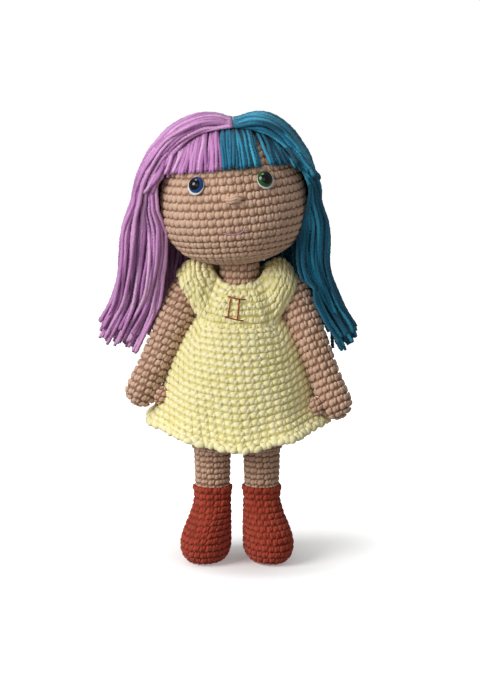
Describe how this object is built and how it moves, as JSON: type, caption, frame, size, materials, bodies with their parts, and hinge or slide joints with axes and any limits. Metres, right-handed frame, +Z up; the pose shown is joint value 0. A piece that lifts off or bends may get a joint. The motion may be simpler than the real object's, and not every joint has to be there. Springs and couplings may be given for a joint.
{
  "type": "amigurumi doll",
  "caption": "Crocheted standing doll with long lilac and teal hair, a flared dress and boots; its head turns on the neck and its arms swing.",
  "frame": {"origin": "on the floor, under the middle of the doll's box", "axes": "+Z up, -Y the way the doll faces, +X towards the doll's own left hand"},
  "size_m": [0.1253, 0.0853, 0.2261],
  "materials": {
    "beige_cotton": "matte",
    "lilac_cotton": "matte",
    "teal_cotton": "matte",
    "yellow_cotton": "matte",
    "rust_cotton": "matte",
    "rust_thread": "matte",
    "pink_thread": "matte",
    "white_thread": "matte",
    "polyester_fibre": "matte",
    "white_felt": "matte",
    "blue_eye_plastic": "gloss",
    "green_eye_plastic": "gloss",
    "washer_plastic": "satin",
    "button_plastic": "gloss",
    "beech_stick": "sanded",
    "insole_plastic": "matte"
  },
  "bodies": {
    "torso": {"body_shell": "beige_cotton", "body_stuffing": "polyester_fibre", "neck_stick": "beech_stick", "shoulder_thread": "white_thread", "leg_right": "beige_cotton", "leg_stuffing_right": "polyester_fibre", "boot_right": "rust_cotton", "insole_right": "insole_plastic", "leg_left": "beige_cotton", "leg_stuffing_left": "polyester_fibre", "boot_left": "rust_cotton", "insole_left": "insole_plastic", "dress_yoke": "yellow_cotton", "sleeve_right": "yellow_cotton", "sleeve_left": "yellow_cotton", "dress_skirt": "yellow_cotton", "hem_edging": "yellow_cotton", "emblem": "rust_thread", "back_button": "button_plastic", "button_loop": "yellow_cotton"},
    "head": {"head_shell": "beige_cotton", "head_stuffing": "polyester_fibre", "eye_right": "blue_eye_plastic", "eye_left": "green_eye_plastic", "eye_felt_right": "white_felt", "eye_felt_left": "white_felt", "eye_washer_right": "washer_plastic", "eye_washer_left": "washer_plastic", "nose": "beige_cotton", "mouth": "pink_thread", "hair_fringe_right": "lilac_cotton", "hair_fringe_left": "teal_cotton", "hair_side_right": "lilac_cotton", "hair_side_left": "teal_cotton", "hair_back_right": "lilac_cotton", "hair_back_left": "teal_cotton"},
    "arm_right": {"arm_right": "beige_cotton", "arm_stuffing_right": "polyester_fibre"},
    "arm_left": {"arm_left": "beige_cotton", "arm_stuffing_left": "polyester_fibre"}
  },
  "joints": [
    {"name": "head_turn", "type": "hinge", "parent": "torso", "child": "head", "pos_m": [0.00614, -0.00415, 0.146], "axis": [0, 0, 1], "range_deg": [-15, 15]},
    {"name": "arm_right_swing", "type": "hinge", "parent": "torso", "child": "arm_right", "pos_m": [-0.02026, -0.00415, 0.135], "axis": [-1, 0, 0], "range_deg": [-4, 50]},
    {"name": "arm_left_swing", "type": "hinge", "parent": "torso", "child": "arm_left", "pos_m": [0.03254, -0.00415, 0.135], "axis": [-1, 0, 0], "range_deg": [-2, 45]}
  ]
}
